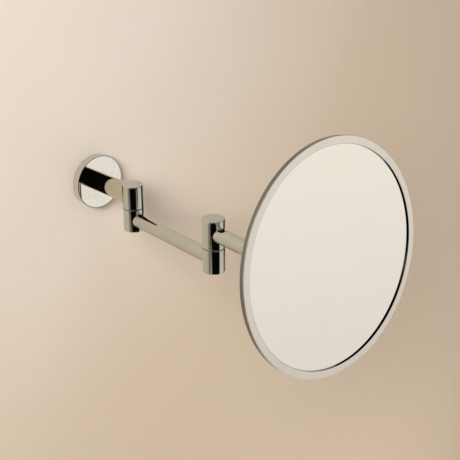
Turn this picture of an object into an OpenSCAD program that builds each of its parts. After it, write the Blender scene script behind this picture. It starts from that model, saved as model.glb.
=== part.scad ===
// Extendable wall shaving mirror on two swinging arms.
// Origin: centre of the wall flange's back face. The wall is the plane y = 0 and the mirror reaches to -Y.

/* [Wall fitting] */
// Diameter of the wall flange
flange_d = 58; // [56:1:66]
// Depth of the wall flange
flange_h = 9; // [9:0.5:14]
// Diameter of the wall post
post_d = 21; // [18:0.5:21]
// Distance from the wall to the first knuckle's axis
reach = 64; // [60:1:90]
// Circle that the three wall screw holes lie on
screw_circle_d = 38; // [37:0.5:40]
// Diameter of a wall screw hole
screw_hole_d = 5.2; // [4:0.1:6]

/* [Arms] */
// Diameter of a knuckle
knuckle_d = 22; // [22:0.5:24]
// Height of one knuckle half
half_h = 25; // [24:0.5:28]
// Height of the upper half of the second and third knuckles
tall_half_h = 29; // [28:0.5:32]
// Diameter of an arm tube
arm_d = 15; // [14:0.5:17]
// First arm, knuckle axis to knuckle axis
arm1_len = 128; // [122:1:170]
// Second arm, knuckle axis to knuckle axis
arm2_len = 116; // [114:1:160]

/* [Mirror] */
// Diameter of the bezel ring
mirror_d = 200; // [180:1:204]
// Width of the bezel ring's front face
bezel_w = 6.7; // [5:0.1:8]
// Thickness of the glass
glass_t = 2.5; // [2:0.1:2.5]

/* [Pose] */
// First arm's angle from straight out
arm1_angle = -3.4; // [-5:0.1:5]
// Second arm's angle from straight out
arm2_angle = -4.4; // [-5:0.1:5]
// Direction that the mirror faces, from straight out
mirror_angle = -3.3; // [-5:0.1:5]
// Upward tilt of the mirror
mirror_tilt = 7.9; // [0:0.1:10]

/* [Hidden] */
$fn = 96;

chrome = [0.72, 0.70, 0.66];
dull_metal = [0.55, 0.55, 0.53];
dark_plastic = [0.12, 0.12, 0.12];

flange_r = flange_d / 2;
flange_wall = 1.2;
bracket_r = flange_r - flange_wall - 0.9;
bracket_t = 3.5;
boss_r = 12;
boss_h = flange_h - 3;
post_r = post_d / 2;
grub_y = 1.75;
small_screw_r = 1.5;
bolt_r = 4;
bolt_head_r = 7;
bolt_head_h = 4;
bolt_depth = 24;
bolt_socket = 6;

knuckle_r = knuckle_d / 2;
seam_z = -half_h / 2;
seam_gap = 0.7;
washer_r = knuckle_r - 1.4;
running = 0.05;
fixed_gap = 0.02;
pin_r = 3;
thread_r = 2.5;
pin_in_upper = 7;
bush_r = 4;
pocket_r = 5.4;
pocket_h = 6.5;
cap_t = 1.2;
spring_t = 0.5;
nut_h = 3;
nut_flats = 8;
spigot_r = 4;
spigot_depth = 4.6;
spigot_body = 12;
tube_r = arm_d / 2;
tube_wall = 1.5;

k2_x = arm1_len * sin(arm1_angle);
k2_y = -reach - arm1_len * cos(arm1_angle);
k3_x = k2_x + arm2_len * sin(arm2_angle);
k3_y = k2_y - arm2_len * cos(arm2_angle);
arm1_z = seam_z - half_h / 2;
arm2_z = seam_z + tall_half_h / 2;
k3_seam_z = arm2_z + half_h / 2;
mirror_z = k3_seam_z + tall_half_h / 2;

tilt_offset = 20;
glass_recess = 1.45;
mirror_r = mirror_d / 2;
face_y = -18;
ring_depth = 4.2;
rim_round = 0.4;
lip_round = 0.5;
ring_bore_r = mirror_r - 3.6;
pan_wall = 0.8;
glass_r = ring_bore_r - pan_wall - 0.4;
glass_front_y = face_y + glass_recess;
glass_back_y = glass_front_y + glass_t;
pad_t = 1;
pan_in_y = glass_back_y + pad_t;
pan_boss_r = 46;
pan_boss_h = 2;
plate_y = pan_in_y + pan_boss_h + pan_wall;
plate_t = 2.5;
plate_r = 23;
plate_screw_circle_r = 16;
stiffener_r = 32;
stiffener_t = 1.5;
eye_r = 6.5;
eye_w = 14;
tilt_washer_t = 0.8;
lug_t = 3.5;
lug_r = 6;
lug_x = eye_w / 2 + tilt_washer_t + 0.1;
tilt_head_r = 5;
tilt_head_h = 4;
tilt_nut_flats = 10;

// ---------- placing ----------

module at_k1() {
    translate([0, -reach, seam_z]) children();
}

module at_k2() {
    translate([k2_x, k2_y, seam_z]) children();
}

module at_k3() {
    translate([k3_x, k3_y, k3_seam_z]) children();
}

// Swivel frame: the tilt axis is X, the mirror is towards -Y
module at_tilt() {
    translate([k3_x, k3_y, mirror_z])
        rotate([0, 0, mirror_angle]) translate([0, -tilt_offset, 0]) children();
}

module at_mirror() {
    at_tilt() rotate([-mirror_tilt, 0, 0]) children();
}

// Stands a Z cylinder along -Y
module along_y() {
    rotate([90, 0, 0]) children();
}

// Stands a Z cylinder along X, centred
module along_x() {
    rotate([0, 90, 0]) children();
}

// ---------- shared shapes ----------

// Solid of revolution with rounded rims
module turned(r, h, round_low, round_top) {
    rotate_extrude() {
        translate([0, round_low]) square([r, h - round_low - round_top]);
        square([r - round_low, h]);
        translate([0, h - round_top]) square([r - round_top, round_top]);
        translate([r - round_low, round_low]) circle(round_low);
        translate([r - round_top, h - round_top]) circle(round_top);
    }
}

module ring(r_out, r_in, h) {
    difference() {
        cylinder(r = r_out, h = h);
        translate([0, 0, -1]) cylinder(r = r_in, h = h + 2);
    }
}

// Horizontal hole in a knuckle half, pointing along -Y turned by angle, at height z
module side_hole(z, angle) {
    rotate([0, 0, angle]) translate([0, -knuckle_r + spigot_depth + 0.1, z])
        along_y() cylinder(r = spigot_r + fixed_gap, h = knuckle_r);
}

// Upper knuckle half; z = 0 is the seam
module upper_half(h, hole_z, hole_angle) {
    difference() {
        translate([0, 0, seam_gap / 2]) turned(knuckle_r, h - seam_gap / 2, 0.4, 0.9);
        translate([0, 0, -1]) cylinder(r = pin_r + fixed_gap, h = pin_in_upper + 1.5);
        side_hole(hole_z, hole_angle);
    }
}

// Lower knuckle half with its bush bore, spring pocket and spigot hole
module lower_half(hole_angle) {
    difference() {
        translate([0, 0, -half_h]) turned(knuckle_r, half_h - seam_gap / 2, 0.9, 0.4);
        translate([0, 0, -half_h - 1]) cylinder(r = bush_r + fixed_gap, h = half_h + 2);
        translate([0, 0, -half_h - 1]) cylinder(r = pocket_r, h = pocket_h + 1);
        side_hole(-half_h / 2, hole_angle);
    }
}

module pivot_pin() {
    color(dull_metal) {
        translate([0, 0, -half_h + pocket_h]) cylinder(r = pin_r, h = half_h - pocket_h + pin_in_upper);
        translate([0, 0, -half_h + cap_t + 0.5]) cylinder(r = thread_r, h = pocket_h);
    }
}

module pivot_bush() {
    color("ivory") translate([0, 0, -half_h + pocket_h])
        ring(bush_r, pin_r + running, half_h - pocket_h - seam_gap / 2);
}

module seam_washer() {
    color(dark_plastic) translate([0, 0, -seam_gap / 2])
        ring(washer_r, pin_r + running, seam_gap - fixed_gap);
}

// Two conical disc springs, rim to rim, under the pocket's floor
module disc_springs() {
    spring_top = -half_h + pocket_h - fixed_gap;
    color(dull_metal) for (side = [0, 1])
        translate([0, 0, spring_top - 2 * spring_t * side]) mirror([0, 0, side])
            translate([0, 0, side == 0 ? -spring_t * 1.5 : -spring_t * 0.5])
                rotate_extrude() polygon([
                    [thread_r + running, spring_t], [pocket_r - 0.3, 0],
                    [pocket_r - 0.3, spring_t], [thread_r + running, spring_t * 1.5]]);
}

module hex_nut(h, flats, hole_r) {
    difference() {
        cylinder(d = flats / cos(30), h = h, $fn = 6);
        translate([0, 0, -1]) cylinder(r = hole_r, h = h + 2);
    }
}

module pivot_nut() {
    color(dull_metal) translate([0, 0, -half_h + cap_t + 0.7])
        hex_nut(nut_h, nut_flats, thread_r + fixed_gap);
}

module knuckle_cap() {
    color(dark_plastic) translate([0, 0, -half_h]) cylinder(r = pocket_r - fixed_gap, h = cap_t);
}

// Tube between two knuckles a length apart, saddled to fit them
module arm_tube(length) {
    color(chrome) difference() {
        along_y() cylinder(r = tube_r, h = length);
        translate([0, 1, 0]) along_y() cylinder(r = tube_r - tube_wall, h = length + 2);
        for (y = [0, -length])
            translate([0, y, -tube_r - 1]) cylinder(r = knuckle_r + fixed_gap, h = arm_d + 2);
    }
}

// Solid plugs in the tube's two ends, each with a nose in its knuckle
module arm_spigots(length) {
    color(dull_metal) for (end = [0, 1])
        translate([0, -length * end, 0]) mirror([0, end, 0]) {
            translate([0, -knuckle_r - 0.5, 0]) along_y()
                cylinder(r = tube_r - tube_wall - fixed_gap, h = spigot_body);
            translate([0, -knuckle_r + spigot_depth, 0]) along_y()
                cylinder(r = spigot_r, h = spigot_depth + 2);
        }
}

module at_arm1() {
    translate([0, -reach, arm1_z]) rotate([0, 0, arm1_angle]) children();
}

module at_arm2() {
    translate([k2_x, k2_y, arm2_z]) rotate([0, 0, arm2_angle]) children();
}

// ---------- wall fitting ----------

// Round plate on the wall with three screw holes and a boss for the post
module wall_bracket() {
    color(dull_metal) difference() {
        union() {
            along_y() cylinder(r = bracket_r, h = bracket_t);
            along_y() cylinder(r = boss_r, h = boss_h);
        }
        translate([0, 1, 0]) along_y() cylinder(r = bolt_r + 0.1, h = boss_h + 2);
        translate([0, 1, 0]) along_y() cylinder(r = bolt_head_r + 0.2, h = bolt_head_h + 1.3);
        for (angle = [90, 210, 330])
            rotate([0, angle, 0]) translate([screw_circle_d / 2, 1, 0])
                along_y() cylinder(d = screw_hole_d, h = bracket_t + 2);
    }
}

// Turned cover cup that hides the bracket
module wall_flange() {
    color(chrome) difference() {
        along_y() turned(flange_r, flange_h, 0.05, 1);
        translate([0, 1, 0]) along_y() cylinder(r = flange_r - flange_wall, h = flange_h - flange_wall + 1);
        translate([0, 1, 0]) along_y() cylinder(r = post_r + 0.1, h = flange_h + 2);
        translate([0, -grub_y, -flange_r - 1])
            cylinder(r = small_screw_r + fixed_gap, h = flange_wall + 2);
    }
}

// Headless screw that clamps the cover to the bracket from below
module flange_grub_screw() {
    color(dull_metal) translate([0, -grub_y, -flange_r + 0.3])
        cylinder(r = small_screw_r, h = flange_r - bracket_r - 0.3);
}

// Solid post from the bracket's boss to the first knuckle
module wall_post() {
    color(chrome) difference() {
        union() {
            translate([0, -boss_h, 0]) along_y() cylinder(r = post_r, h = reach - boss_h);
            translate([0, -reach + knuckle_r + 2, 0]) along_y()
                cylinder(r = spigot_r, h = spigot_depth + 2);
        }
        difference() {
            translate([0, -reach, -post_r - 1]) cylinder(r = knuckle_r + fixed_gap, h = post_d + 2);
            translate([0, -reach + knuckle_r + 2, 0]) along_y()
                cylinder(r = spigot_r, h = spigot_depth + 2);
        }
        translate([0, 1, 0]) along_y() cylinder(r = bolt_r + fixed_gap, h = bolt_depth + 2);
    }
}

// Socket head bolt from behind the bracket into the post
module post_bolt() {
    color(dull_metal) difference() {
        union() {
            translate([0, -0.3, 0]) along_y() cylinder(r = bolt_head_r, h = bolt_head_h);
            translate([0, -1, 0]) along_y() cylinder(r = bolt_r, h = bolt_depth - 1);
        }
        along_y() cylinder(d = bolt_socket / cos(30), h = 2.8, $fn = 6);
    }
}

// ---------- first knuckle ----------

module k1_upper() {
    at_k1() color(chrome) upper_half(half_h, half_h / 2, 180);
}

module k1_pin() {
    at_k1() pivot_pin();
}

module k1_disc_springs() {
    at_k1() disc_springs();
}

module k1_nut() {
    at_k1() pivot_nut();
}

module k1_lower() {
    at_k1() color(chrome) lower_half(arm1_angle);
}

module k1_bush() {
    at_k1() pivot_bush();
}

module k1_washer() {
    at_k1() seam_washer();
}

module k1_cap() {
    at_k1() knuckle_cap();
}

// ---------- first arm ----------

module arm1_tube() {
    at_arm1() arm_tube(arm1_len);
}

module arm1_spigots() {
    at_arm1() arm_spigots(arm1_len);
}

// ---------- second knuckle ----------

module k2_lower() {
    at_k2() color(chrome) lower_half(180 + arm1_angle);
}

module k2_bush() {
    at_k2() pivot_bush();
}

module k2_washer() {
    at_k2() seam_washer();
}

module k2_cap() {
    at_k2() knuckle_cap();
}

module k2_upper() {
    at_k2() color(chrome) upper_half(tall_half_h, tall_half_h / 2, arm2_angle);
}

module k2_pin() {
    at_k2() pivot_pin();
}

module k2_disc_springs() {
    at_k2() disc_springs();
}

module k2_nut() {
    at_k2() pivot_nut();
}

// ---------- second arm ----------

module arm2_tube() {
    at_arm2() arm_tube(arm2_len);
}

module arm2_spigots() {
    at_arm2() arm_spigots(arm2_len);
}

// ---------- third knuckle ----------

module k3_lower() {
    at_k3() color(chrome) lower_half(180 + arm2_angle);
}

module k3_bush() {
    at_k3() pivot_bush();
}

module k3_washer() {
    at_k3() seam_washer();
}

module k3_cap() {
    at_k3() knuckle_cap();
}

module k3_upper() {
    at_k3() color(chrome) upper_half(tall_half_h, tall_half_h / 2, mirror_angle);
}

module k3_pin() {
    at_k3() pivot_pin();
}

module k3_disc_springs() {
    at_k3() disc_springs();
}

module k3_nut() {
    at_k3() pivot_nut();
}

// ---------- tilt joint ----------

// Stem with an eye for the tilt bolt
module tilt_stem() {
    stem_end = tilt_offset - knuckle_r;
    color(chrome) at_tilt() difference() {
        union() {
            translate([0, stem_end - fixed_gap, 0]) along_y() cylinder(r = spigot_r + 1, h = stem_end);
            translate([0, stem_end + spigot_depth, 0]) along_y()
                cylinder(r = spigot_r, h = spigot_depth + stem_end / 2);
            translate([-eye_w / 2, 0, 0]) along_x() cylinder(r = eye_r, h = eye_w);
        }
        translate([0, tilt_offset, -half_h]) difference() {
            cylinder(r = knuckle_r + fixed_gap, h = 2 * half_h);
            translate([0, 0, half_h]) along_y() cylinder(r = spigot_r, h = 2 * knuckle_r);
        }
        translate([-eye_w, 0, 0]) along_x() cylinder(r = pin_r + running, h = 2 * eye_w);
    }
}

module tilt_bolt() {
    color(dull_metal) at_mirror() {
        translate([-lug_x - lug_t - tilt_head_h, 0, 0]) along_x()
            cylinder(r = tilt_head_r, h = tilt_head_h);
        translate([-lug_x - lug_t - 1, 0, 0]) along_x()
            cylinder(r = pin_r, h = 2 * (lug_x + lug_t) + 6);
    }
}

module tilt_nut() {
    color(dull_metal) at_mirror() translate([lug_x + lug_t, 0, 0]) along_x()
        hex_nut(tilt_head_h, tilt_nut_flats, pin_r + fixed_gap);
}

// Two friction washers between the eye and the lugs
module tilt_washers() {
    color(dark_plastic) at_mirror() for (side = [0, 1])
        mirror([side, 0, 0]) translate([eye_w / 2 + 0.05, 0, 0]) along_x()
            ring(eye_r - 0.5, pin_r + fixed_gap, tilt_washer_t);
}

// Round plate with two lugs, screwed to the back of the pan
module pivot_plate() {
    color(chrome) at_mirror() difference() {
        union() {
            translate([0, plate_y + plate_t, 0]) along_y() cylinder(r = plate_r, h = plate_t);
            for (side = [0, 1]) mirror([side, 0, 0]) {
                translate([lug_x, 0, 0]) along_x() cylinder(r = lug_r, h = lug_t);
                translate([lug_x, plate_y + 0.5, -lug_r]) cube([lug_t, -plate_y - 0.5, 2 * lug_r]);
            }
        }
        translate([-lug_x - lug_t - 1, 0, 0]) along_x()
            cylinder(r = pin_r + fixed_gap, h = 2 * (lug_x + lug_t + 1));
        plate_screw_holes();
    }
}

module plate_screw_places() {
    for (angle = [45 : 90 : 315])
        rotate([0, angle, 0]) translate([plate_screw_circle_r, plate_y, 0]) along_y() children();
}

module plate_screw_holes() {
    plate_screw_places() cylinder(r = small_screw_r + fixed_gap, h = plate_r, center = true);
}

module plate_screws() {
    color(dull_metal) at_mirror() plate_screw_places() {
        translate([0, 0, -plate_t - 1.6]) cylinder(r = 2.7, h = 1.6);
        translate([0, 0, -plate_t - 1])
            cylinder(r = small_screw_r, h = plate_t + pan_wall + stiffener_t + 1);
    }
}

// ---------- mirror head ----------

// Spun back pan: a wall inside the ring, a rolled rim behind it and a stepped centre
module mirror_pan() {
    pan_wall_r = ring_bore_r - fixed_gap;
    rim_r = mirror_r - 1.4;
    depth_in = pan_in_y - face_y;
    depth_rim = ring_depth + fixed_gap;
    color(chrome) at_mirror() difference() {
        translate([0, face_y, 0]) along_y() mirror([0, 0, 1]) rotate_extrude() polygon([
            [0, depth_in + pan_boss_h], [pan_boss_r - 2, depth_in + pan_boss_h],
            [pan_boss_r, depth_in], [pan_wall_r - pan_wall, depth_in],
            [pan_wall_r - pan_wall, glass_recess + 0.2], [pan_wall_r, glass_recess + 0.2],
            [pan_wall_r, depth_rim], [rim_r, depth_rim],
            [rim_r, ring_depth + pan_wall], [pan_wall_r, ring_depth + pan_wall + 0.3],
            [pan_wall_r - 1, depth_in + pan_wall], [pan_boss_r + 0.5, depth_in + pan_wall],
            [pan_boss_r - 1.5, depth_in + pan_boss_h + pan_wall],
            [0, depth_in + pan_boss_h + pan_wall]]);
        plate_screw_holes();
    }
}

// Tapped disc inside the pan that the plate's screws bite into
module stiffener() {
    color(dull_metal) at_mirror() difference() {
        translate([0, pan_in_y + pan_boss_h - fixed_gap, 0]) along_y()
            cylinder(r = stiffener_r, h = stiffener_t);
        plate_screw_holes();
    }
}

// Foam ring that presses the glass against the bezel
module glass_pad() {
    color(dark_plastic) at_mirror() translate([0, pan_in_y - fixed_gap, 0]) along_y()
        ring(glass_r - 2, pan_boss_r + 4, pad_t - 2 * fixed_gap);
}

module mirror_glass() {
    color([0.88, 0.88, 0.86]) at_mirror() translate([0, glass_back_y, 0]) along_y()
        cylinder(r = glass_r, h = glass_t - fixed_gap);
}

// L-section bezel: a lip over the glass and a skirt around the pan, with rounded edges
module bezel_ring() {
    lip_r = mirror_r - bezel_w;
    rim_r = mirror_r - rim_round;
    color(chrome) at_mirror() translate([0, face_y, 0]) along_y() mirror([0, 0, 1])
        rotate_extrude() {
            translate([lip_r + lip_round, 0]) square([rim_r - lip_r - lip_round, glass_recess]);
            translate([lip_r, lip_round]) square([bezel_w / 2, glass_recess - lip_round]);
            translate([lip_r + lip_round, lip_round]) circle(lip_round);
            translate([ring_bore_r, 0]) square([rim_r - ring_bore_r, ring_depth]);
            translate([ring_bore_r, rim_round])
                square([mirror_r - ring_bore_r, ring_depth - 2 * rim_round]);
            for (y = [rim_round, ring_depth - rim_round]) translate([rim_r, y]) circle(rim_round);
        }
}

wall_bracket();
wall_flange();
flange_grub_screw();
wall_post();
post_bolt();
k1_upper();
k1_pin();
k1_disc_springs();
k1_nut();
k1_lower();
k1_bush();
k1_washer();
k1_cap();
arm1_tube();
arm1_spigots();
k2_lower();
k2_bush();
k2_washer();
k2_cap();
k2_upper();
k2_pin();
k2_disc_springs();
k2_nut();
arm2_tube();
arm2_spigots();
k3_lower();
k3_bush();
k3_washer();
k3_cap();
k3_upper();
k3_pin();
k3_disc_springs();
k3_nut();
tilt_stem();
tilt_bolt();
tilt_nut();
tilt_washers();
pivot_plate();
plate_screws();
mirror_pan();
stiffener();
glass_pad();
mirror_glass();
bezel_ring();
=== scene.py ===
import math

import bpy
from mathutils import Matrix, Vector


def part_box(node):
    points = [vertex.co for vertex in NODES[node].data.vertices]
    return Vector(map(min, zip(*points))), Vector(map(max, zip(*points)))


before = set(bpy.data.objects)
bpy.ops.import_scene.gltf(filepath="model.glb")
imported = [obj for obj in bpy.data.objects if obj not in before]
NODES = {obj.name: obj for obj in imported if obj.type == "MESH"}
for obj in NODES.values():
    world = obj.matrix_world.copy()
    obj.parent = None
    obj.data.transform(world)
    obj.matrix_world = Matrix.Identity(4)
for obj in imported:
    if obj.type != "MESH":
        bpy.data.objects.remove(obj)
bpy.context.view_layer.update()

# Camera: where it stands, how far it turns from looking along +Y, how far it looks down, and its lens
CAMERA_PLACE = (-0.5444, -0.7533, 0.3560)
CAMERA_TURN = -44.84
CAMERA_DOWN = 24.35
LENS_MM = 71.5

# The mirror's turn and tilt at rest, and the direction that its glass faces
MIRROR_TURN = math.radians(-3.3)
MIRROR_TILT = math.radians(7.9)
MIRROR_NORMAL = (math.sin(MIRROR_TURN) * math.cos(MIRROR_TILT),
                 -math.cos(MIRROR_TURN) * math.cos(MIRROR_TILT), math.sin(MIRROR_TILT))

# Bezel, in metres: the outer edge of the painted shade in the seam, and the skirt's front edge ahead
# of the bezel's middle, where the skirt's painted shade ends
SEAM_SHADE_RADIUS = 0.0935
SEAM_SHADE_BLUR = 0.0002
SKIRT_FRONT = 0.0018
SKIRT_BLUR = 0.0003
SKIRT_SHADE = 0.9

# Flange, in metres: depths behind its face and a width inside its rim at which its painted shade
# begins
FLANGE_SIDE_DEPTH = 0.0012
FLANGE_SIDE_BLUR = 0.0004
FLANGE_EDGE_DEPTH = 0.0007
FLANGE_EDGE_WIDTH = 0.0010
FLANGE_EDGE_BLUR = 0.0003

# Tubes, in metres: how far below their middle they are fully dark, and the blur above that
TUBE_SHADE_DROP = 0.0040
TUBE_SHADE_BLUR = 0.0034

# Room, in metres; the wall is a hair behind the flange
WALL_GAP = 0.0006
WALL_LEFT = 3.2
WALL_RIGHT = 2.6
WALL_UP = 1.9
FLOOR_DROP = 1.1
FLOOR_OUT = 1.2
FLOOR_HALF = 2.2
# Where the painted pool of light on the wall and the floor fades, in metres from its centre
PAINTED_LIGHT_START = 0.3
PAINTED_LIGHT_END = 0.66

# Cards: their colour, the height where the two on the right meet, and the foot of the two in front
CARD_COLOUR = (1.0, 0.925, 0.82)
RIGHT_CARDS_MEET = -0.7
FRONT_CARDS_FOOT = -0.42

PIVOTS = ("k1", "k2", "k3")
SHARP_EDGE = math.radians(30)


# ---------- node tree helpers ----------

def new_material(name):
    """A new material, with its node tree and its Principled shader."""
    material = bpy.data.materials.new(name)
    material.use_nodes = True
    tree = material.node_tree
    return material, tree, principled(tree)


def principled(tree):
    """The Principled shader of a node tree."""
    return tree.nodes["Principled BSDF"]


def add(tree, kind, **inputs):
    """A node with its inputs set by socket name, underscores standing for spaces."""
    node = tree.nodes.new(kind)
    for name, value in inputs.items():
        node.inputs[name.replace("_", " ")].default_value = value
    return node


def object_coordinates(tree, stretch=(1, 1, 1)):
    """Object coordinates in metres, scaled along each axis."""
    coordinates = tree.nodes.new("ShaderNodeTexCoord")
    mapping = add(tree, "ShaderNodeMapping", Scale=stretch)
    tree.links.new(coordinates.outputs["Object"], mapping.inputs["Vector"])
    return mapping.outputs["Vector"]


def noise(tree, vector, scale, detail=3.0, roughness=0.55, distortion=0.0):
    """Fractal noise with a feature size of about 1 / scale metres."""
    node = add(tree, "ShaderNodeTexNoise", Scale=scale, Detail=detail, Roughness=roughness,
               Distortion=distortion)
    tree.links.new(vector, node.inputs["Vector"])
    return node.outputs["Fac"]


def remap(tree, value, source, target):
    """A clamped linear map from one range to another, each a pair of ends."""
    node = add(tree, "ShaderNodeMapRange", From_Min=source[0], From_Max=source[1],
               To_Min=target[0], To_Max=target[1])
    tree.links.new(value, node.inputs["Value"])
    return node.outputs["Result"]


def below(tree, value, edge, blur):
    """1 where a value is under an edge, fading to 0 over the blur past it."""
    return remap(tree, value, (edge, edge + blur), (1.0, 0.0))


def above(tree, value, edge, blur):
    """0 where a value is under an edge, rising to 1 over the blur past it."""
    return remap(tree, value, (edge, edge + blur), (0.0, 1.0))


def combine(tree, operation, a, b=0):
    """One arithmetic step on one or two values."""
    node = tree.nodes.new("ShaderNodeMath")
    node.operation = operation
    for socket, value in zip(node.inputs, (a, b)):
        if isinstance(value, (int, float)):
            socket.default_value = value
        else:
            tree.links.new(value, socket)
    return node.outputs["Value"]


def vector_step(tree, operation, vector, constant=(0, 0, 0)):
    """One step on a vector, with a constant second vector where the step needs one."""
    node = tree.nodes.new("ShaderNodeVectorMath")
    node.operation = operation
    tree.links.new(vector, node.inputs[0])
    node.inputs[1].default_value = constant
    gives_value = operation in ("LENGTH", "DISTANCE", "DOT_PRODUCT")
    return node.outputs["Value" if gives_value else "Vector"]


def blend_colours(tree, factor, dark, light):
    """A colour between two, by a factor from 0 to 1."""
    node = tree.nodes.new("ShaderNodeMix")
    node.data_type = "RGBA"
    node.inputs["A"].default_value = (*dark, 1)
    node.inputs["B"].default_value = (*light, 1)
    tree.links.new(factor, node.inputs["Factor"])
    return node.outputs["Result"]


def bump(tree, shader, height, distance):
    """Surface relief of that depth in metres."""
    node = add(tree, "ShaderNodeBump", Distance=distance)
    tree.links.new(height, node.inputs["Height"])
    tree.links.new(node.outputs["Normal"], shader.inputs["Normal"])


def scratches(tree, stretch, scale, share):
    """Thin lines: 1 on a hair scratch and 0 elsewhere."""
    field = noise(tree, object_coordinates(tree, stretch), scale, detail=1.0, distortion=0.3)
    ridge = combine(tree, "ABSOLUTE", combine(tree, "SUBTRACT", field, 0.5))
    return remap(tree, ridge, (0.0, share), (1.0, 0.0))


def shaded(tint, share):
    """A colour at a share of its strength."""
    return tuple(channel * share for channel in tint)


# ---------- materials ----------

def chrome(name, tint, roughness, smudge):
    """Polished chrome plate: finger smudges, a water-spot haze and hair scratches."""
    material, tree, shader = new_material(name)
    plain = object_coordinates(tree)
    haze = noise(tree, plain, scale=22, detail=4)
    prints = noise(tree, plain, scale=95, detail=5, roughness=0.65, distortion=0.8)
    patch = remap(tree, combine(tree, "MULTIPLY", haze, prints), (0.24, 0.42), (0.0, 1.0))
    lines = scratches(tree, stretch=(1, 1, 7), scale=420, share=0.006)
    dulling = combine(tree, "MULTIPLY", patch, smudge)
    dulling = combine(tree, "ADD", dulling, combine(tree, "MULTIPLY", lines, 0.05))
    tree.links.new(combine(tree, "ADD", dulling, roughness), shader.inputs["Roughness"])
    tree.links.new(blend_colours(tree, patch, tint, shaded(tint, 0.93)),
                   shader.inputs["Base Color"])
    bump(tree, shader, noise(tree, plain, scale=60, detail=1), distance=0.000004)
    shader.inputs["Metallic"].default_value = 1
    return material


def paint_shade(material, mask, colour):
    """Paints shade into a material: blends it towards a darker, duller colour where a mask is 1."""
    tree = material.node_tree
    base = principled(tree).inputs["Base Color"]
    blend = tree.nodes.new("ShaderNodeMix")
    blend.data_type = "RGBA"
    blend.inputs["B"].default_value = (*colour, 1)
    tree.links.new(mask, blend.inputs["Factor"])
    tree.links.new(base.links[0].from_socket, blend.inputs["A"])
    tree.links.new(blend.outputs["Result"], base)


def bezel_chrome():
    """Chrome with painted shade in the seam along the glass and on the skirt behind the rim."""
    material = chrome("bezel_chrome", (0.755, 0.75, 0.735), roughness=0.05, smudge=0.05)
    tree = material.node_tree
    low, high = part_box("bezel_ring")
    middle = [(a + b) / 2 for a, b in zip(low, high)]
    offset = vector_step(tree, "SUBTRACT", object_coordinates(tree), middle)
    seam_shade_mask = below(tree, vector_step(tree, "LENGTH", offset), SEAM_SHADE_RADIUS, SEAM_SHADE_BLUR)
    ahead = vector_step(tree, "DOT_PRODUCT", offset, MIRROR_NORMAL)
    skirt_shade_mask = remap(tree, ahead, (SKIRT_FRONT - SKIRT_BLUR, SKIRT_FRONT), (SKIRT_SHADE, 0.0))
    # Painted shade: the seam and the skirt are blended towards a near black
    paint_shade(material, combine(tree, "MAXIMUM", seam_shade_mask, skirt_shade_mask), (0.13, 0.125, 0.115))
    return material


def flange_chrome():
    """Chrome tinted brighter than the other chrome as painted light on the face, with painted shade
    on the side and a fine painted dark reflection along the front edge.
    """
    # The bright tint is painted light on the flange's face
    material = chrome("flange_chrome", (0.945, 0.95, 0.945), roughness=0.03, smudge=0.04)
    tree = material.node_tree
    low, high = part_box("wall_flange")
    face = -low[1]
    place = object_coordinates(tree)
    from_wall = vector_step(tree, "DOT_PRODUCT", place, (0, -1, 0))
    side_shade_mask = below(tree, from_wall, face - FLANGE_SIDE_DEPTH, FLANGE_SIDE_BLUR)
    # Painted shade on the flange's side
    paint_shade(material, side_shade_mask, (0.70, 0.69, 0.675))
    radius = vector_step(tree, "LENGTH", vector_step(tree, "MULTIPLY", place, (1, 0, 1)))
    edge_reflection_ring = above(tree, radius, high[0] - FLANGE_EDGE_WIDTH, FLANGE_EDGE_BLUR)
    front = above(tree, from_wall, face - FLANGE_EDGE_DEPTH, FLANGE_EDGE_BLUR)
    # A painted dark reflection in a fine line on the front of the edge rounding
    paint_shade(material, combine(tree, "MULTIPLY", edge_reflection_ring, front), (0.2, 0.195, 0.18))
    return material


def tube_chrome(node, tint):
    """Chrome of a level tube, with painted shade along its underside."""
    material = chrome(node + "_chrome", tint, roughness=0.045, smudge=0.05)
    tree = material.node_tree
    low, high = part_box(node)
    middle = (low[2] + high[2]) / 2
    height = vector_step(tree, "DOT_PRODUCT", object_coordinates(tree), (0, 0, 1))
    # Painted shade along the underside
    paint_shade(material, below(tree, height, middle - TUBE_SHADE_DROP, TUBE_SHADE_BLUR),
              shaded(tint, 0.66))
    return material


def turned_metal(name, tint, roughness):
    """Plated steel or brass with fine tool marks."""
    material, tree, shader = new_material(name)
    marks = noise(tree, object_coordinates(tree, (1, 1, 14)), scale=260, detail=3)
    cloud = noise(tree, object_coordinates(tree), scale=70, detail=3)
    tree.links.new(remap(tree, marks, (0.3, 0.7), (roughness - 0.07, roughness + 0.1)),
                   shader.inputs["Roughness"])
    tree.links.new(blend_colours(tree, cloud, shaded(tint, 0.78), tint),
                   shader.inputs["Base Color"])
    bump(tree, shader, marks, distance=0.00001)
    shader.inputs["Metallic"].default_value = 1
    return material


def moulded(name, dark, light, roughness, grain):
    """Moulded plastic or foam: mottled colour with a fine grain, its size in metres."""
    material, tree, shader = new_material(name)
    plain = object_coordinates(tree)
    cloud = noise(tree, plain, scale=160, detail=4)
    pores = noise(tree, plain, scale=1 / grain, detail=3)
    tree.links.new(blend_colours(tree, cloud, dark, light), shader.inputs["Base Color"])
    tree.links.new(remap(tree, pores, (0.3, 0.7), (roughness - 0.06, roughness + 0.08)),
                   shader.inputs["Roughness"])
    bump(tree, shader, pores, distance=grain * 0.15)
    return material


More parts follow.
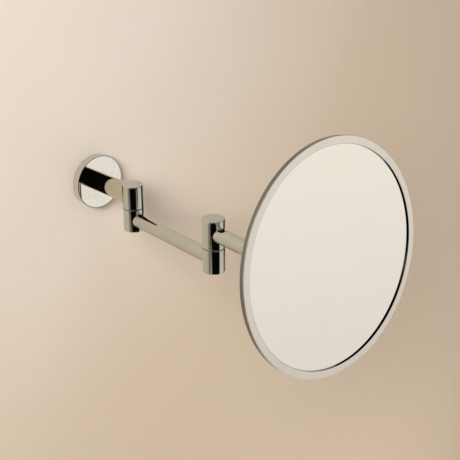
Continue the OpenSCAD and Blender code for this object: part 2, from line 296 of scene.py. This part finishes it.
def silvered_glass():
    """Mirror glass: nearly perfect silvering under a faint haze of wiping marks and dust."""
    material, tree, shader = new_material("silvered_glass")
    wipes = noise(tree, object_coordinates(tree, (1, 1, 3)), scale=18, detail=5, distortion=1.2)
    specks = noise(tree, object_coordinates(tree), scale=900, detail=1)
    haze = remap(tree, wipes, (0.5, 0.8), (0.0, 0.012))
    dust = remap(tree, specks, (0.76, 0.8), (0.0, 0.04))
    rough = combine(tree, "ADD", combine(tree, "ADD", haze, dust), 0.004)
    tree.links.new(rough, shader.inputs["Roughness"])
    tree.links.new(blend_colours(tree, wipes, (0.93, 0.935, 0.925), (0.90, 0.905, 0.90)),
                   shader.inputs["Base Color"])
    shader.inputs["Metallic"].default_value = 1
    return material


# ---------- object ----------

def smooth(node):
    """Shades a node's round surfaces smoothly and keeps its edges sharp."""
    mesh = NODES[node].data
    mesh.shade_smooth()
    mesh.set_sharp_from_angle(angle=SHARP_EDGE)


def dress(nodes, material):
    """Gives nodes their one material."""
    for node in nodes:
        mesh = NODES[node].data
        mesh.materials.clear()
        mesh.materials.append(material)


def each_pivot(*kinds):
    """Node names of the same pieces in every knuckle."""
    return [f"{pivot}_{kind}" for pivot in PIVOTS for kind in kinds]


def dress_object():
    """Gives every node its material and smooth shading."""
    knuckle_chrome = chrome("knuckle_chrome", (0.565, 0.59, 0.55), roughness=0.03, smudge=0.04)
    pan_chrome = chrome("pan_chrome", (0.74, 0.73, 0.715), roughness=0.11, smudge=0.10)
    # The post's golden tint is a painted reflection of the warm wall
    post_chrome_painted_reflection = chrome("post_chrome_painted_reflection", (0.585, 0.535, 0.44), roughness=0.045, smudge=0.05)
    steel = turned_metal("zinc_steel", (0.56, 0.56, 0.55), roughness=0.34)
    brass = turned_metal("turned_brass", (0.72, 0.56, 0.30), roughness=0.30)
    nylon = moulded("nylon", (0.74, 0.71, 0.63), (0.82, 0.80, 0.74), roughness=0.45, grain=0.0004)
    black = moulded("black_plastic", (0.012, 0.012, 0.012), (0.03, 0.03, 0.03), roughness=0.5,
                    grain=0.0003)
    foam = moulded("foam", (0.02, 0.02, 0.02), (0.06, 0.06, 0.06), roughness=0.9, grain=0.0009)
    dress(each_pivot("upper", "lower") + ["tilt_stem"], knuckle_chrome)
    dress(["wall_post"], post_chrome_painted_reflection)
    for node in ("arm1_tube", "arm2_tube"):
        dress([node], tube_chrome(node, (0.565, 0.575, 0.505)))
    dress(["wall_flange"], flange_chrome())
    dress(["bezel_ring"], bezel_chrome())
    dress(["mirror_pan", "pivot_plate"], pan_chrome)
    dress(["wall_bracket", "flange_grub_screw", "post_bolt", "tilt_bolt", "tilt_nut",
           "plate_screws", "stiffener"] + each_pivot("pin", "disc_springs", "nut"), steel)
    dress(["arm1_spigots", "arm2_spigots"], brass)
    dress(each_pivot("bush"), nylon)
    dress(each_pivot("washer", "cap") + ["tilt_washers"], black)
    dress(["glass_pad"], foam)
    dress(["mirror_glass"], silvered_glass())
    for node in NODES:
        smooth(node)


# ---------- room ----------

def one_sided(tree, front):
    """Makes a material see-through from its back, so that the object can be seen from there."""
    geometry = tree.nodes.new("ShaderNodeNewGeometry")
    clear = tree.nodes.new("ShaderNodeBsdfTransparent")
    mix = tree.nodes.new("ShaderNodeMixShader")
    tree.links.new(geometry.outputs["Backfacing"], mix.inputs["Fac"])
    tree.links.new(front, mix.inputs[1])
    tree.links.new(clear.outputs["BSDF"], mix.inputs[2])
    tree.links.new(mix.outputs["Shader"], tree.nodes["Material Output"].inputs["Surface"])


def paint(name, far, near, light_centre):
    """Matt paint with a faint stipple, under a painted pool of light that fades it from one colour to
    another around a place.
    """
    material, tree, shader = new_material(name)
    place = object_coordinates(tree)
    # The painted pool of light: the near colour around its centre, fading to the far one
    painted_light = remap(tree, vector_step(tree, "DISTANCE", place, light_centre),
                 (PAINTED_LIGHT_START, PAINTED_LIGHT_END), (1.0, 0.0))
    cloud = remap(tree, noise(tree, place, scale=4.5, detail=2), (0.3, 0.7), (-0.1, 0.1))
    stipple = remap(tree, noise(tree, place, scale=420, detail=2), (0.3, 0.7), (-0.1, 0.1))
    shade = combine(tree, "ADD", painted_light, combine(tree, "ADD", cloud, stipple))
    tree.links.new(blend_colours(tree, shade, far, near), shader.inputs["Base Color"])
    shader.inputs["Roughness"].default_value = 0.9
    shader.inputs["Specular IOR Level"].default_value = 0.1
    one_sided(tree, shader.outputs["BSDF"])
    return material


def glow(name, heights, strengths):
    """A lit white card, whose strength runs between two values from one height to another."""
    material, tree, shader = new_material(name)
    tree.nodes.remove(shader)
    light = add(tree, "ShaderNodeEmission", Color=(*CARD_COLOUR, 1))
    height = vector_step(tree, "DOT_PRODUCT", object_coordinates(tree), (0, 0, 1))
    tree.links.new(remap(tree, height, heights, strengths), light.inputs["Strength"])
    one_sided(tree, light.outputs["Emission"])
    return material


def quad(name, corners, material):
    """A flat stage piece whose front is the side that its corners run anticlockwise on."""
    mesh = bpy.data.meshes.new(name)
    mesh.from_pydata(corners, [], [(0, 1, 2, 3)])
    mesh.materials.append(material)
    piece = bpy.data.objects.new(name, mesh)
    bpy.context.scene.collection.objects.link(piece)
    return piece


def around(azimuth, distance, height):
    """A point around the object: azimuth 0 is straight out from the wall, 90 to the right."""
    angle = math.radians(azimuth)
    return (distance * math.sin(angle), -distance * math.cos(angle), height)


def card(name, azimuths, distance, heights, material):
    """An upright card between two azimuths and two heights that faces the object."""
    start, end = azimuths
    foot, top = heights
    corners = [around(start, distance, foot), around(start, distance, top),
               around(end, distance, top), around(end, distance, foot)]
    return quad(name, corners, material)


def make_room():
    """A painted wall behind the object and a painted floor below it, each with a painted pool of
    light.
    """
    wall = paint("wall_paint", far=(0.715, 0.602, 0.492), near=(0.775, 0.72, 0.663),
                 light_centre=(-0.15, 0, 0.35))
    floor = paint("floor_paint", far=(0.70, 0.65, 0.58), near=(0.76, 0.72, 0.66),
                  light_centre=(0, 0, -FLOOR_DROP))
    quad("backdrop", [(-WALL_LEFT, WALL_GAP, -FLOOR_DROP), (WALL_RIGHT, WALL_GAP, -FLOOR_DROP),
                      (WALL_RIGHT, WALL_GAP, WALL_UP), (-WALL_LEFT, WALL_GAP, WALL_UP)], wall)
    quad("floor", [(-FLOOR_HALF, -FLOOR_OUT, -FLOOR_DROP), (FLOOR_HALF, -FLOOR_OUT, -FLOOR_DROP),
                   (FLOOR_HALF, 0, -FLOOR_DROP), (-FLOOR_HALF, 0, -FLOOR_DROP)], floor)


def make_cards():
    """The lit cards that the chrome and the glass reflect."""
    right = {"azimuths": (14, 60), "distance": 1.6}
    card("right_card", **right, heights=(RIGHT_CARDS_MEET, 0.55),
         material=glow("right_card_glow", heights=(-0.54, 0.1), strengths=(0.8, 0.95)))
    card("low_card", **right, heights=(-1.3, RIGHT_CARDS_MEET),
         material=glow("low_card_glow", heights=(-0.85, RIGHT_CARDS_MEET), strengths=(1.15, 0.8)))
    front_glow = glow("far_card_glow", heights=(FRONT_CARDS_FOOT, 1.0), strengths=(0.2, 0.62))
    far_card = card("far_card", azimuths=(-88, -48), distance=2.0,
                    heights=(FRONT_CARDS_FOOT, 1.7), material=front_glow)
    front_card = card("front_card", azimuths=(-30, 13), distance=2.0,
                      heights=(FRONT_CARDS_FOOT, 0.85), material=front_glow)
    for reflected_only in (far_card, front_card):
        reflected_only.visible_diffuse = False
    card("left_strip", azimuths=(-88, -70), distance=1.8, heights=(-1.1, -0.44),
         material=glow("left_strip_glow", heights=(-1.1, -0.44), strengths=(0.27, 0.27)))


def area_light(name, place, aim, size, power, colour):
    """A softbox that lights surfaces and doesn't show in the chrome: the cards do that."""
    data = bpy.data.lights.new(name, "AREA")
    data.shape = "RECTANGLE"
    data.size, data.size_y = size
    data.energy = power
    data.color = colour
    lamp = bpy.data.objects.new(name, data)
    lamp.location = place
    lamp.rotation_mode = "QUATERNION"
    lamp.rotation_quaternion = (Vector(aim) - Vector(place)).to_track_quat("-Z", "Y")
    lamp.visible_glossy = False
    bpy.context.scene.collection.objects.link(lamp)


def light_room():
    """A key light from the left, a fill from above, one low on the wall's right, and a dim world."""
    area_light("key", place=around(-58, 1.75, 0.9), aim=(-0.05, 0, 0), size=(1.0, 0.8), power=57,
               colour=(1.0, 0.95, 0.885))
    area_light("top_fill", place=around(10, 1.2, 2.2), aim=(0, -0.1, 0), size=(1.6, 1.2), power=13,
               colour=(1.0, 0.96, 0.9))
    area_light("low_fill", place=around(35, 0.8, -0.9), aim=(0.75, 0, -1.0), size=(0.6, 0.3),
               power=1.0, colour=(1.0, 0.98, 0.94))
    world = bpy.data.worlds.new("studio")
    bpy.context.scene.world = world
    world.use_nodes = True
    background = world.node_tree.nodes["Background"]
    background.inputs["Color"].default_value = (0.003, 0.003, 0.003, 1)
    background.inputs["Strength"].default_value = 1.0


def make_camera():
    """The camera, at the left of the object and above it."""
    data = bpy.data.cameras.new("camera")
    data.sensor_width = 36
    data.lens = LENS_MM
    data.clip_start = 0.02
    data.clip_end = 30
    camera = bpy.data.objects.new("camera", data)
    camera.location = CAMERA_PLACE
    camera.rotation_euler = (math.radians(90 - CAMERA_DOWN), 0, math.radians(CAMERA_TURN))
    bpy.context.scene.collection.objects.link(camera)
    bpy.context.scene.camera = camera


dress_object()
make_room()
make_cards()
light_room()
make_camera()
bpy.context.scene.view_settings.view_transform = "Standard"
